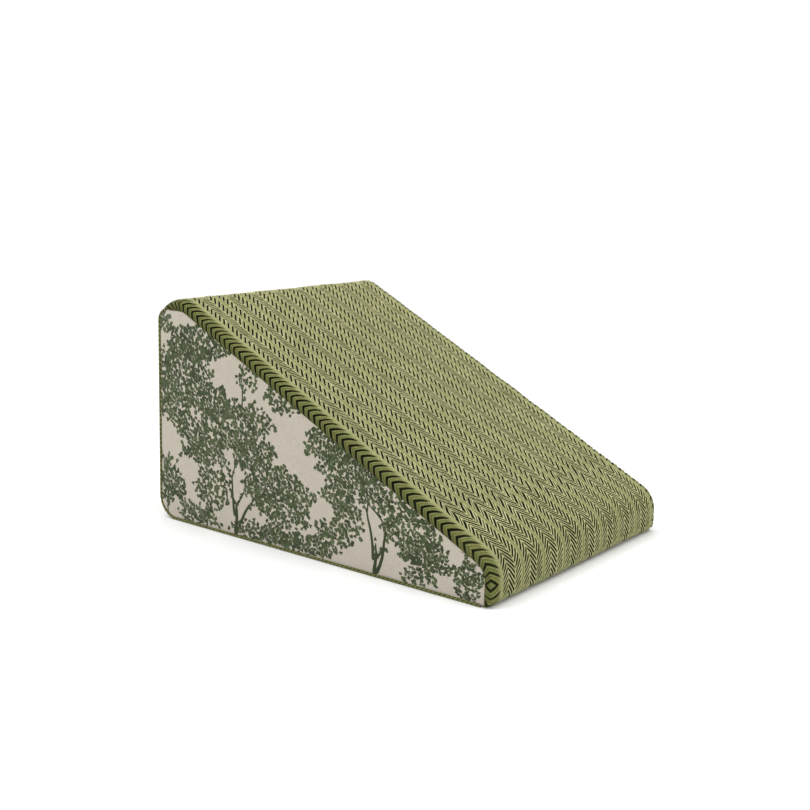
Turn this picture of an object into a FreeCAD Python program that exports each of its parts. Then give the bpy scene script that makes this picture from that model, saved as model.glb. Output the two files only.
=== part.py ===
"""Foam-wedge ramp for a small dog: a low wedge of foam in a zipped, piped fabric cover.

Frame: +X towards the low nose, +Z up, origin on the floor under the middle of the base.
The dog climbs towards -X, so -Y is the side on its left.
"""

import FreeCAD, Part
import math
import os

Vector = FreeCAD.Vector

# Driving dimensions, millimetres
LENGTH = 700.0
WIDTH = 526.0
SHARP_BACK_Z = 415.0
SHARP_NOSE_Z = 68.0
BACK_BOTTOM_RADIUS = 40.0
BACK_TOP_RADIUS = 46.0
NOSE_TOP_RADIUS = 46.0
NOSE_BOTTOM_RADIUS = 18.0
BULLNOSE_RADIUS = 16.0
SEAM_EDGE_RADIUS = 5.0
STUFFING_EDGE_RADIUS = 6.6

# Layers, from the outside in
DOT_HEIGHT = 0.8
COVER_THICKNESS = 1.6
LINER_THICKNESS = 0.6
BACK_SLACK = 3.4
COMFORT_THICKNESS = 32.0

# Piping along the side panels' back and bottom edges
WELT_RADIUS = 2.4
WELT_CORD_RADIUS = 1.7
WELT_CORD_GAP = 0.05
WELT_SIDE_INSET = 1.0
WELT_FACE_INSET = WELT_RADIUS - DOT_HEIGHT

# Seams
SIDE_SEAM_SLOPE_INSET = 16.5
SIDE_SEAM_NOSE_INSET = 14.6
SIDE_SEAM_EDGE_INSET = 2.8
SIDE_SEAM_TOP_Z = 367.5
SIDE_SEAM_TOP_RADIUS = 20.0
SIDE_SEAM_FOOT_RADIUS = 2.0
BACK_SEAM_Z = 334.0
BASE_BACK_SEAM_X = -306.0
BASE_NOSE_SEAM_X = 330.0

# Non-slip backing under the base: a thin film with round dots
FILM_THICKNESS = 0.3
FILM_MARGIN = 8.0
DOT_RADIUS = 3.0
DOT_PITCH = 30.0
DOT_COLUMNS = 19
DOT_ROWS = 17

# Zip round three sides of the back panel
ZIP_HALF_WIDTH = 229.0
ZIP_BOTTOM_Z = 64.0
ZIP_TOP_Z = 322.0
ZIP_CORNER_RADIUS = 40.0
ZIP_SLIT = 1.0
ZIP_OPENING = 11.0
TAPE_WIDTH = 13.0
TAPE_THICKNESS = 0.6
COIL_WIDTH = 2.1
COIL_HEIGHT = 1.4
STOP_LENGTH = 4.0
STOP_GAP = 0.3
STOP_OVERHANG = 0.4
STOP_ROUNDING = 0.35

# Slider and pull
SLIDER_LENGTH = 14.0
SLIDER_WIDTH = 9.8
SLIDER_TAPER = 1.0
SLIDER_PLATE = 1.2
SLIDER_GAP = 0.3
SLIDER_FLANGE = 1.0
SEPARATOR_WIDTH = 0.8
SEPARATOR_LENGTH = 4.0
BRIDGE_LENGTH = 7.6
BRIDGE_WIDTH = 2.2
BRIDGE_HEIGHT = 3.2
BRIDGE_ROUNDING = 1.6
SLIDER_ROOT = 0.2
PIN_RADIUS = 0.8
PIN_GAP = 0.05
PIN_STANDOFF = 1.65
PULL_LENGTH = 27.0
PULL_NECK = 1.15
PULL_WIDTH = 7.6
PULL_THICKNESS = 1.5
PULL_ROUNDING = 0.3
PULL_SLOT_LENGTH = 5.4
PULL_SLOT_GAP = 0.35
PULL_HOLE_RADIUS = 1.4

# Worked out from the driving dimensions
HALF_LENGTH = LENGTH / 2
HALF_WIDTH = WIDTH / 2 + WELT_SIDE_INSET - WELT_RADIUS
SLOPE_ANGLE = math.atan2(SHARP_BACK_Z - SHARP_NOSE_Z, LENGTH)
BASE_Z = DOT_HEIGHT
BACK_X = -HALF_LENGTH
LINER_INSET = COVER_THICKNESS
FOAM_INSET = COVER_THICKNESS + LINER_THICKNESS
WIDE = WIDTH * 2


# ---------------------------------------------------------------- outlines


def rounded_wire(corners, radii, place):
    """A closed wire through 2-D corners, each rounded by its own radius; place maps (a, b) to 3-D."""
    rounds = []
    for index, corner in enumerate(corners):
        before = FreeCAD.Vector(*corners[index - 1], 0)
        here = FreeCAD.Vector(*corner, 0)
        after = FreeCAD.Vector(*corners[(index + 1) % len(corners)], 0)
        towards_before = (before - here).normalize()
        towards_after = (after - here).normalize()
        half_angle = towards_before.getAngle(towards_after) / 2
        tangent = radii[index] / math.tan(half_angle)
        bisector = (towards_before + towards_after).normalize()
        reach = radii[index] / math.sin(half_angle) - radii[index]
        middle = here + bisector * reach
        rounds.append((here + towards_before * tangent, middle, here + towards_after * tangent))
    edges = []
    for index, (start, middle, end) in enumerate(rounds):
        following = rounds[(index + 1) % len(rounds)][0]
        arc_points = [place(point.x, point.y) for point in (start, middle, end)]
        edges.append(Part.Arc(*arc_points).toShape())
        if (following - end).Length > 1e-6:
            edges.append(Part.LineSegment(place(end.x, end.y), place(following.x, following.y)).toShape())
    return Part.Wire(edges)


def slope_z(x, inset=0.0):
    """Height of the slope at x, or of a line that lies inset below it, measured square to it."""
    return SHARP_BACK_Z - (x - BACK_X) * math.tan(SLOPE_ANGLE) - inset / math.cos(SLOPE_ANGLE)


def slope_x(z, inset):
    """Where the line that lies inset below the slope reaches height z."""
    return BACK_X + (SHARP_BACK_Z - inset / math.cos(SLOPE_ANGLE) - z) / math.tan(SLOPE_ANGLE)


def wedge_corners(inset):
    """The wedge's four side-view corners, before rounding, with every side moved inwards by inset."""
    back = BACK_X + inset
    nose = HALF_LENGTH - inset
    bottom = BASE_Z + inset
    return [(back, bottom), (back, slope_z(back, inset)), (nose, slope_z(nose, inset)), (nose, bottom)]


def side_view(y):
    """Maps (x, z) in the side view to the plane at y."""
    return lambda x, z: Vector(x, y, z)


def back_view(depth):
    """Maps (y, z) on the back face to the plane that lies depth inside it."""
    return lambda y, z: Vector(BACK_X + depth, y, z)


def prism(wire, direction):
    return Part.Face(wire).extrude(direction)


def block(low, high):
    size = Vector(*high) - Vector(*low)
    return Part.makeBox(size.x, size.y, size.z, Vector(*low))


# ---------------------------------------------------------------- the wedge's nested skins


def wedge(inset, edge_radius=SEAM_EDGE_RADIUS):
    """The ramp's outer form moved inwards by inset: bullnosed along the slope and nose, tight elsewhere."""
    radii = [BACK_BOTTOM_RADIUS, BACK_TOP_RADIUS, NOSE_TOP_RADIUS, NOSE_BOTTOM_RADIUS]
    half_width = HALF_WIDTH - inset
    radii = [radius - inset for radius in radii]
    outline = rounded_wire(wedge_corners(inset), radii, side_view(-half_width))
    body = prism(outline, Vector(0, 2 * half_width, 0))
    wide = BULLNOSE_RADIUS - inset
    tight = edge_radius - inset
    document = FreeCAD.newDocument()
    base = document.addObject("Part::Feature", "Base")
    base.Shape = body
    rounding = document.addObject("Part::Fillet", "Rounding")
    rounding.Base = base
    slope_low = BASE_Z + BACK_BOTTOM_RADIUS
    edges = []
    for number, edge in enumerate(body.Edges, start=1):
        ends = [edge.Vertexes[0].Point, edge.Vertexes[-1].Point]
        if abs(ends[0].y - ends[1].y) > 1:
            continue
        middle = edge.CenterOfMass
        on_back_or_base = middle.x < BACK_X + inset + 1 or middle.z < BASE_Z + inset + 1
        at_back_bottom = middle.x < BASE_BACK_SEAM_X and middle.z < slope_low
        if on_back_or_base or at_back_bottom:
            edges.append((number, tight, tight))
        elif middle.x < BASE_BACK_SEAM_X and middle.z > BACK_SEAM_Z:
            edges.append((number, tight, wide))
        elif middle.x > BASE_NOSE_SEAM_X and middle.z < BASE_Z + NOSE_BOTTOM_RADIUS * 0.6:
            edges.append((number, wide, tight))
        else:
            edges.append((number, wide, wide))
    rounding.Edges = edges
    document.recompute()
    rounded = rounding.Shape.copy()
    FreeCAD.closeDocument(document.Name)
    return rounded.Solids[0]


def side_panel_prism():
    """Everything inside the side panels' seam, right across the width; the seam's top is cut off level."""
    back = BACK_X + SIDE_SEAM_EDGE_INSET
    bottom = BASE_Z + SIDE_SEAM_EDGE_INSET
    nose = HALF_LENGTH - SIDE_SEAM_NOSE_INSET
    corners = [
        (back, bottom),
        (back, SIDE_SEAM_TOP_Z),
        (slope_x(SIDE_SEAM_TOP_Z, SIDE_SEAM_SLOPE_INSET), SIDE_SEAM_TOP_Z),
        (nose, slope_z(nose, SIDE_SEAM_SLOPE_INSET)),
        (nose, bottom),
    ]
    radii = [
        BACK_BOTTOM_RADIUS - SIDE_SEAM_EDGE_INSET,
        SIDE_SEAM_TOP_RADIUS,
        BACK_TOP_RADIUS - SIDE_SEAM_SLOPE_INSET,
        NOSE_TOP_RADIUS - SIDE_SEAM_SLOPE_INSET,
        SIDE_SEAM_FOOT_RADIUS,
    ]
    return prism(rounded_wire(corners, radii, side_view(-WIDE / 2)), Vector(0, WIDE, 0))


# ---------------------------------------------------------------- piping


def welt_path(side):
    """The piping's centre line: down the back edge, round the bottom corner, along the base to the nose."""
    y = side * (HALF_WIDTH - WELT_SIDE_INSET)
    place = side_view(y)
    back = BACK_X + WELT_FACE_INSET
    bottom = BASE_Z + WELT_FACE_INSET
    radius = BACK_BOTTOM_RADIUS - WELT_FACE_INSET
    lean = radius * (1 - math.sqrt(0.5))
    down = Part.LineSegment(place(back, BACK_SEAM_Z), place(back, bottom + radius))
    corner = Part.Arc(
        place(back, bottom + radius), place(back + lean, bottom + lean), place(back + radius, bottom)
    )
    along = Part.LineSegment(place(back + radius, bottom), place(BASE_NOSE_SEAM_X, bottom))
    return Part.Wire([down.toShape(), corner.toShape(), along.toShape()])


def welt_rod(side, radius):
    path = welt_path(side)
    start = path.Vertexes[0].Point
    ring = Part.Wire(Part.makeCircle(radius, start, Vector(0, 0, -1)))
    return path.makePipeShell([ring], True, False)


# ---------------------------------------------------------------- zip


def zip_outline(offset, depth):
    """The U that the zip follows on the back face, moved outwards by offset and closed far above it."""
    half = ZIP_HALF_WIDTH + offset
    bottom = ZIP_BOTTOM_Z - offset
    top = ZIP_TOP_Z + LENGTH
    radius = ZIP_CORNER_RADIUS + offset
    corners = [(-half, bottom), (-half, top), (half, top), (half, bottom)]
    return rounded_wire(corners, [radius, 1.0, 1.0, radius], back_view(depth))


def zip_band(inner_offset, outer_offset, depth, thickness, top=ZIP_TOP_Z):
    """A U-shaped band between two offsets of the zip line, cut off level at top."""
    outer = prism(zip_outline(outer_offset, depth), Vector(thickness, 0, 0))
    inner = prism(zip_outline(inner_offset, depth), Vector(thickness, 0, 0))
    above = block((-LENGTH, -WIDE, top), (LENGTH, WIDE, 3 * LENGTH))
    return outer.cut(inner).cut(above)


def zip_nodes():
    """Tapes, coils and stops, which lie still in the back of the cover."""
    half_slit = ZIP_SLIT / 2
    coil_outer = half_slit + COIL_WIDTH
    coil_depth = COVER_THICKNESS - COIL_HEIGHT
    coil_top = ZIP_TOP_Z - STOP_LENGTH
    tape_reach = half_slit + TAPE_WIDTH
    top_stops = [
        zip_stop(-ZIP_HALF_WIDTH - coil_outer, -ZIP_HALF_WIDTH - half_slit, coil_depth),
        zip_stop(-ZIP_HALF_WIDTH + half_slit, -ZIP_HALF_WIDTH + coil_outer, coil_depth),
    ]
    stop_half = coil_outer + STOP_OVERHANG
    bottom_stop = zip_stop(ZIP_HALF_WIDTH - stop_half, ZIP_HALF_WIDTH + stop_half, coil_depth - STOP_OVERHANG)
    return {
        "zip_tape_outer": zip_band(half_slit, tape_reach, COVER_THICKNESS, TAPE_THICKNESS),
        "zip_tape_inner": zip_band(-tape_reach, -half_slit, COVER_THICKNESS, TAPE_THICKNESS),
        "zip_coil_outer": zip_band(half_slit, coil_outer, coil_depth, COIL_HEIGHT, coil_top),
        "zip_coil_inner": zip_band(-coil_outer, -half_slit, coil_depth, COIL_HEIGHT, coil_top),
        "zip_top_stops": Part.makeCompound(top_stops),
        "zip_bottom_stop": bottom_stop,
    }


def zip_stop(low_y, high_y, depth):
    """A crimped metal stop on the tape, just above the end of the coils, with its upright edges rounded."""
    start = (BACK_X + depth, low_y, ZIP_TOP_Z - STOP_LENGTH + STOP_GAP)
    end = (BACK_X + COVER_THICKNESS, high_y, ZIP_TOP_Z - STOP_GAP)
    stop = block(start, end)
    corners = [edge for edge in stop.Edges if abs(edge.tangentAt(0).x) > 0.9]
    return stop.makeFillet(STOP_ROUNDING, corners)


def slider_centre_z():
    """At rest the slider is parked just below the top stops, so the zip is closed."""
    return ZIP_TOP_Z - STOP_LENGTH - SLIDER_LENGTH / 2 - STOP_GAP


def pin_centre():
    """The middle of the pull's cross pin, inside the slider's bridge."""
    plate_front = COVER_THICKNESS - COIL_HEIGHT - SLIDER_GAP - SLIDER_PLATE
    return Vector(BACK_X + plate_front - PIN_STANDOFF, -ZIP_HALF_WIDTH, slider_centre_z())


def slider_block(low, high):
    """A box on the slider; each corner is (depth, distance from the zip line, height above its middle)."""
    middle = Vector(BACK_X, -ZIP_HALF_WIDTH, slider_centre_z())
    return block(tuple(Vector(*low) + middle), tuple(Vector(*high) + middle))


def slider_plate(depth):
    """One of the slider's two plates, wider at the end where the coils part."""
    middle = slider_centre_z()
    half = SLIDER_WIDTH / 2
    foot = half - SLIDER_TAPER
    low = middle - SLIDER_LENGTH / 2
    high = middle + SLIDER_LENGTH / 2
    corners = [(-foot, low), (-half, high), (half, high), (foot, low)]
    corners = [(y - ZIP_HALF_WIDTH, z) for y, z in corners]
    return prism(rounded_wire(corners, [2.0, 3.2, 3.2, 2.0], back_view(depth)), Vector(SLIDER_PLATE, 0, 0))


def slider_body():
    """Top plate with side flanges, bottom plate and separator, with a bored bridge that carries the pull."""
    top_inner = COVER_THICKNESS - COIL_HEIGHT - SLIDER_GAP
    bottom_inner = COVER_THICKNESS + TAPE_THICKNESS + SLIDER_GAP
    flange_reach = COVER_THICKNESS - SLIDER_GAP
    flange_inner = ZIP_SLIT / 2 + COIL_WIDTH + SLIDER_GAP
    flange_outer = flange_inner + SLIDER_FLANGE
    rooted = top_inner - SLIDER_ROOT
    half_length = SLIDER_LENGTH / 2
    separator_top = half_length - SEPARATOR_WIDTH
    pieces = [
        slider_plate(bottom_inner),
        slider_block((rooted, -flange_outer, -4.5), (flange_reach, -flange_inner, 3.5)),
        slider_block((rooted, flange_inner, -4.5), (flange_reach, flange_outer, 3.5)),
        slider_block(
            (rooted, -SEPARATOR_WIDTH / 2, separator_top - SEPARATOR_LENGTH),
            (bottom_inner + SLIDER_ROOT, SEPARATOR_WIDTH / 2, separator_top),
        ),
        slider_bridge(BACK_X + top_inner - SLIDER_PLATE),
    ]
    pin = pin_centre()
    start = pin - Vector(0, BRIDGE_WIDTH, 0)
    bore = Part.makeCylinder(PIN_RADIUS + PIN_GAP, 2 * BRIDGE_WIDTH, start, Vector(0, 1, 0))
    whole = slider_plate(top_inner - SLIDER_PLATE).fuse(pieces)
    return whole.cut(bore).removeSplitter().Solids[0]


def slider_bridge(plate_front):
    """The arched lug on the top plate, seen from the side with its two outer corners rounded."""
    root = plate_front + SLIDER_ROOT
    crest = plate_front - BRIDGE_HEIGHT
    low = slider_centre_z() - BRIDGE_LENGTH / 2
    high = slider_centre_z() + BRIDGE_LENGTH / 2
    corners = [(root, low), (crest, low), (crest, high), (root, high)]
    radii = [0.05, BRIDGE_ROUNDING, BRIDGE_ROUNDING, 0.05]
    wire = rounded_wire(corners, radii, side_view(-ZIP_HALF_WIDTH - BRIDGE_WIDTH / 2))
    return prism(wire, Vector(0, BRIDGE_WIDTH, 0))


def pull_outline(half_low, half_high, low, high, radii, depth):
    """A rounded four-cornered shape on the pull, measured from its pin, in the plane at depth."""
    pin = pin_centre()
    corners = [(-half_low, low), (-half_high, high), (half_high, high), (half_low, low)]
    corners = [(y + pin.y, z + pin.z) for y, z in corners]
    return rounded_wire(corners, radii, back_view(depth))


def pull_tab():
    """A flat tab with a slotted top that straddles the bridge, and the cross pin between its two arms."""
    pin = pin_centre()
    half = PULL_WIDTH / 2
    slot_half = BRIDGE_WIDTH / 2 + PULL_SLOT_GAP
    depth = pin.x - BACK_X - PULL_THICKNESS / 2
    through = Vector(PULL_THICKNESS + 2, 0, 0)
    outline = pull_outline(half, half - 1, -PULL_LENGTH, PULL_NECK, [2.6, 1.0, 1.0, 2.6], depth)
    slot = pull_outline(
        slot_half, slot_half, -PULL_SLOT_LENGTH, PULL_NECK + 3, [1.0, 0.5, 0.5, 1.0], depth - 1
    )
    eye_centre = Vector(BACK_X + depth - 1, pin.y, pin.z - PULL_LENGTH + 3 * PULL_HOLE_RADIUS)
    eye = Part.makeCylinder(PULL_HOLE_RADIUS, through.x, eye_centre, Vector(1, 0, 0))
    tab = prism(outline, Vector(PULL_THICKNESS, 0, 0)).cut(prism(slot, through)).cut(eye)
    long_edges = [edge for edge in tab.Edges if edge.Length > PULL_LENGTH / 2]
    tab = tab.makeFillet(PULL_ROUNDING, long_edges)
    reach = slot_half + PULL_SLOT_GAP
    cross = Part.makeCylinder(PIN_RADIUS, 2 * reach, pin - Vector(0, reach, 0), Vector(0, 1, 0))
    return tab.fuse(cross).removeSplitter().Solids[0]


# ---------------------------------------------------------------- cover, liner and foam


def cover_nodes(rods, zip_opening):
    """The outer fabric as its sewn panels: slope, two sides, back door, back border and base."""
    shell = wedge(0).cut(wedge(COVER_THICKNESS))
    for rod in rods:
        shell = shell.cut(rod)
    side_prism = side_panel_prism()
    sides = shell.common(side_prism)
    around = shell.cut(side_prism)
    nodes = {}
    for solid in sides.Solids:
        name = "left_side_panel" if solid.CenterOfMass.y < 0 else "right_side_panel"
        nodes[name] = solid
    above_seam = block((BACK_X - 10, -WIDE, BACK_SEAM_Z), (LENGTH, WIDE, SHARP_BACK_Z))
    nose_side = block((BASE_NOSE_SEAM_X, -WIDE, -10), (LENGTH, WIDE, SHARP_BACK_Z))
    clear = 2 * BULLNOSE_RADIUS
    mid_slope = block((BACK_X + clear, -WIDE, BASE_Z + clear), (LENGTH, WIDE, SHARP_BACK_Z))
    slope_region = above_seam.fuse([nose_side, mid_slope])
    nodes["slope_panel"] = around.common(slope_region)
    rest = around.cut(slope_region)
    behind = block((BACK_X - 10, -WIDE, -10), (BASE_BACK_SEAM_X, WIDE, SHARP_BACK_Z))
    back = rest.common(behind)
    nodes["base_panel"] = rest.cut(behind)
    door = prism(zip_outline(-ZIP_OPENING / 2, -5), Vector(20, 0, 0))
    below_seam = block((BACK_X - 10, -WIDE, -10), (LENGTH, WIDE, BACK_SEAM_Z))
    nodes["back_panel"] = back.common(door.common(below_seam))
    nodes["back_border"] = back.cut(door).cut(zip_opening)
    return nodes


def foam_nodes():
    """The liner and the two foams, which stand a little clear of the back panel so that the zip can run."""
    cut_back = block((BACK_X - 10, -WIDE, -10), (BACK_X + FOAM_INSET + BACK_SLACK, WIDE, SHARP_BACK_Z))
    liner_back = block((BACK_X - 10, -WIDE, -10), (BACK_X + LINER_INSET + BACK_SLACK, WIDE, SHARP_BACK_Z))
    foam = wedge(FOAM_INSET, STUFFING_EDGE_RADIUS).cut(cut_back)
    liner = wedge(LINER_INSET, STUFFING_EDGE_RADIUS).cut(liner_back).cut(foam)
    far = LENGTH
    split = [(-far, -far), (-far, slope_z(-far, COMFORT_THICKNESS)), (far, slope_z(far, COMFORT_THICKNESS))]
    corners = [Vector(x, -WIDE / 2, z) for x, z in split]
    below = prism(Part.makePolygon(corners, True), Vector(0, WIDE, 0))
    return {
        "inner_liner": liner,
        "foam_base_wedge": foam.common(below),
        "foam_comfort_layer": foam.cut(below),
    }


def grip_backing():
    """The non-slip film bonded under the base, in one piece with its grid of round dots."""
    film = block(
        (BASE_BACK_SEAM_X + FILM_MARGIN, FILM_MARGIN - HALF_WIDTH, BASE_Z - FILM_THICKNESS),
        (BASE_NOSE_SEAM_X - FILM_MARGIN, HALF_WIDTH - FILM_MARGIN, BASE_Z),
    )
    dots = []
    for column in range(DOT_COLUMNS):
        for row in range(DOT_ROWS):
            x = (column - DOT_COLUMNS // 2) * DOT_PITCH
            y = (row - DOT_ROWS // 2) * DOT_PITCH
            dots.append(Part.makeCylinder(DOT_RADIUS, DOT_HEIGHT - FILM_THICKNESS / 2, Vector(x, y, 0)))
    return film.fuse(dots).removeSplitter().Solids[0]


def main():
    rods = [welt_rod(side, WELT_RADIUS) for side in (-1, 1)]
    nodes = {}
    for side, name in ((-1, "left"), (1, "right")):
        hollow = welt_rod(side, WELT_CORD_RADIUS + WELT_CORD_GAP)
        rod = rods[0] if side < 0 else rods[1]
        nodes[name + "_welt_cover"] = rod.cut(hollow)
        nodes[name + "_welt_cord"] = welt_rod(side, WELT_CORD_RADIUS)
    opening = zip_band(-ZIP_OPENING / 2, ZIP_OPENING / 2, -5, 20, BACK_SEAM_Z - 6)
    nodes.update(cover_nodes(rods, opening))
    nodes.update(foam_nodes())
    nodes.update(zip_nodes())
    nodes["zip_slider"] = slider_body()
    nodes["zip_pull"] = pull_tab()
    nodes["grip_backing"] = grip_backing()
    os.makedirs("parts", exist_ok=True)
    for name, shape in nodes.items():
        print(name, len(shape.Solids), shape.isValid(), round(shape.Volume))
        shape.exportStep("parts/" + name + ".step")


main()
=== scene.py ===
import math

import bmesh
import bpy
import numpy as np
from mathutils import Matrix, Vector


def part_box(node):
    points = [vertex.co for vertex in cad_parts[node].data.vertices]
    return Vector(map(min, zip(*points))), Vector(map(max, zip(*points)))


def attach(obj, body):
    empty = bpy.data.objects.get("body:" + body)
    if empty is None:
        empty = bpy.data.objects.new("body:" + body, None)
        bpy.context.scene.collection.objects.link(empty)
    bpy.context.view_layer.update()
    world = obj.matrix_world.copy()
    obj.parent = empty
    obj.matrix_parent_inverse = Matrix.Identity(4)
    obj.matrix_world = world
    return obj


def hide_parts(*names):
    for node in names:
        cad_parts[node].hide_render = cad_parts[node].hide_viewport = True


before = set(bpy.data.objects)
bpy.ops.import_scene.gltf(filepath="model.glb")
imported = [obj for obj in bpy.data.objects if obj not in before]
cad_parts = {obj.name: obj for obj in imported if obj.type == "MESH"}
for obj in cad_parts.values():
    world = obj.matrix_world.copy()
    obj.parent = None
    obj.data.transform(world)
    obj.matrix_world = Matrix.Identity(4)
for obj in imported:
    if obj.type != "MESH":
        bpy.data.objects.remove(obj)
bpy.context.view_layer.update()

# Lengths are in millimetres, as in the part; put_mesh() turns them into metres.
MM = 0.001


def cad_corners(node):
    """The lowest and highest corner of a CAD node, in millimetres."""
    low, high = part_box(node)
    return np.array(low) / MM, np.array(high) / MM


# The wedge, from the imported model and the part's own driving sizes
slope_low, slope_high = cad_corners("slope_panel")
BACK_X = slope_low[0]
NOSE_X = slope_high[0]
HALF_WIDTH = slope_high[1]
BASE_Z = cad_corners("base_panel")[0][2]
SHARP_BACK_Z = 415.0
SHARP_NOSE_Z = 68.0
SLOPE_ANGLE = math.atan2(SHARP_BACK_Z - SHARP_NOSE_Z, NOSE_X - BACK_X)
BACK_BOTTOM_RADIUS = 40.0
BACK_TOP_RADIUS = 46.0
NOSE_TOP_RADIUS = 46.0
NOSE_BOTTOM_RADIUS = 18.0
BULLNOSE = 16.0
TIGHT_EDGE = 5.0
EDGE_STRIP = 28.0
COVER = 1.6

# Seams
SEAM_SLOPE_INSET = 16.5
SEAM_NOSE_INSET = 14.6
SEAM_EDGE_INSET = 2.8
SEAM_TOP_Z = 367.5
SEAM_TOP_RADIUS = 20.0
SEAM_FOOT_RADIUS = 2.0
BACK_SEAM_Z = cad_corners("back_border")[1][2]
BASE_BACK_SEAM_X = cad_corners("base_panel")[0][0]
BASE_NOSE_SEAM_X = cad_corners("base_panel")[1][0]
SEAM_TUCK = 1.5
SEAM_TUCK_REACH = 2.4
FAR_FROM_SEAM = 99.0

# Piping
WELT_RADIUS = 2.4
WELT_CORD_RADIUS = 1.7
WELT_SIDE_INSET = 1.0
WELT_FACE_INSET = 1.6
WELT_TUCK_Y = HALF_WIDTH - 2.6
WELT_TOP_TURN = 1.25
WELT_BIAS = 1.1
WELT_PITCH = 8.2

# Zip
ZIP_HALF_WIDTH = 229.0
ZIP_BOTTOM_Z = 64.0
ZIP_CORNER_RADIUS = 40.0
ZIP_COIL_TOP_Z = cad_corners("zip_coil_outer")[1][2]
ZIP_SLIT_HALF = 0.5
ZIP_OPENING_HALF = 5.5
COIL_WIDTH = 2.1
COIL_HEIGHT = 1.4
COIL_PITCH = 1.5
COIL_STRAND = 0.32
STITCH_OFFSET = ZIP_OPENING_HALF + 2.6
STITCH_PITCH = 3.4
STITCH_LENGTH = 2.5
STITCH_RADIUS = 0.42

# Herringbone weave: ribs in three arms between smooth rails
REPEAT = 60.0
RAIL_HALF = 4.6
ARM_TURN_1 = 20.5
ARM_TURN_2 = 39.0
RIB_PITCH = 5.65
RIB_LEAN = 1.2
NOSE_STRETCH = 0.34
TURN_BLUR = 0.8
EDGE_RAIL_V = 233.0
BULL_PITCH = 12.0
BULL_PITCH_GAIN = 1.34e-5
BULL_START_V = HALF_WIDTH - BULLNOSE - 3.5
BULL_APEX_V = HALF_WIDTH - 1.8
GAP_DEPTH = 1.5
# For the three arms and the nose: half width of every other gap and of those between, then their strengths
ARM_GAPS = (
    (0.58, 0.44, 0.52, 0.31),
    (0.14, 0.2, 0.14, 0.28),
    (1.15, 1.0, 1.05, 1.1),
    (0.6, 0.9, 0.55, 0.95),
)

# Foam
LINER_INSET = 2.15
FOAM_INSET = 2.25
FOAM_SLACK = 3.4
FOAM_SPLIT = 32.0
FOAM_EDGE = 13.8
FOAM_RING = 220

# Sampling steps of the meshes
FINE = 1.12
SIDE_FINE = 1.25

LEFT, RIGHT = -1, 1

# Camera: azimuth, elevation and roll in degrees, place in metres; and each light's power in watts
CAMERA_ANGLES = (37.0579, 11.4809, 1.6441)
CAMERA_PLACE = (1.2587, -1.6851, 0.6396)
CAMERA_LENS = 55.06
LIGHT_POWER = 30


# ---- one formula for arrays and shaders


def operator(operation, swapped=False):
    """A method that joins two values with a Math node, the second first if swapped."""

    def method(self, other):
        return self.math(operation, other, self) if swapped else self.math(operation, self, other)

    return method


class Value:
    """A shader value. Arithmetic on it adds Math nodes, so a formula serves a mesh and its material."""

    def __init__(self, tree, socket):
        self.tree = tree
        self.socket = socket

    def node(self, kind, *values):
        """A new node fed by values in order, links for Values and numbers for the rest."""
        node = self.tree.nodes.new(kind)
        for slot, value in zip(node.inputs, values):
            if isinstance(value, Value):
                self.tree.links.new(value.socket, slot)
            else:
                slot.default_value = float(value)
        return node

    def math(self, operation, *values):
        node = self.node("ShaderNodeMath", *values)
        node.operation = operation
        return Value(self.tree, node.outputs[0])

    __add__ = operator("ADD")
    __radd__ = operator("ADD", swapped=True)
    __sub__ = operator("SUBTRACT")
    __rsub__ = operator("SUBTRACT", swapped=True)
    __mul__ = operator("MULTIPLY")
    __rmul__ = operator("MULTIPLY", swapped=True)
    __truediv__ = operator("DIVIDE")


def operate(operation, function):
    """A function that does the same operation on shader values or on arrays."""

    def apply(*values):
        for value in values:
            if isinstance(value, Value):
                return value.math(operation, *values)
        return function(*values)

    return apply


floor = operate("FLOOR", np.floor)
absolute = operate("ABSOLUTE", np.abs)
sine = operate("SINE", np.sin)
lesser = operate("MINIMUM", np.minimum)
greater = operate("MAXIMUM", np.maximum)


def ramp(x, low, high):
    """0 up to low, 1 from high on, and smooth between them."""
    if isinstance(x, Value):
        node = x.node("ShaderNodeMapRange", x, low, high)
        node.interpolation_type = "SMOOTHSTEP"
        return Value(x.tree, node.outputs[0])
    share = np.clip((x - low) / (high - low), 0, 1)
    return share * share * (3 - 2 * share)


def scatter(x):
    """A number from 0 to 1 that looks random for each whole number x."""
    turned = sine(x * 1.7 + 0.6) * 43.7
    return turned - floor(turned)


# ---- weave


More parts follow.
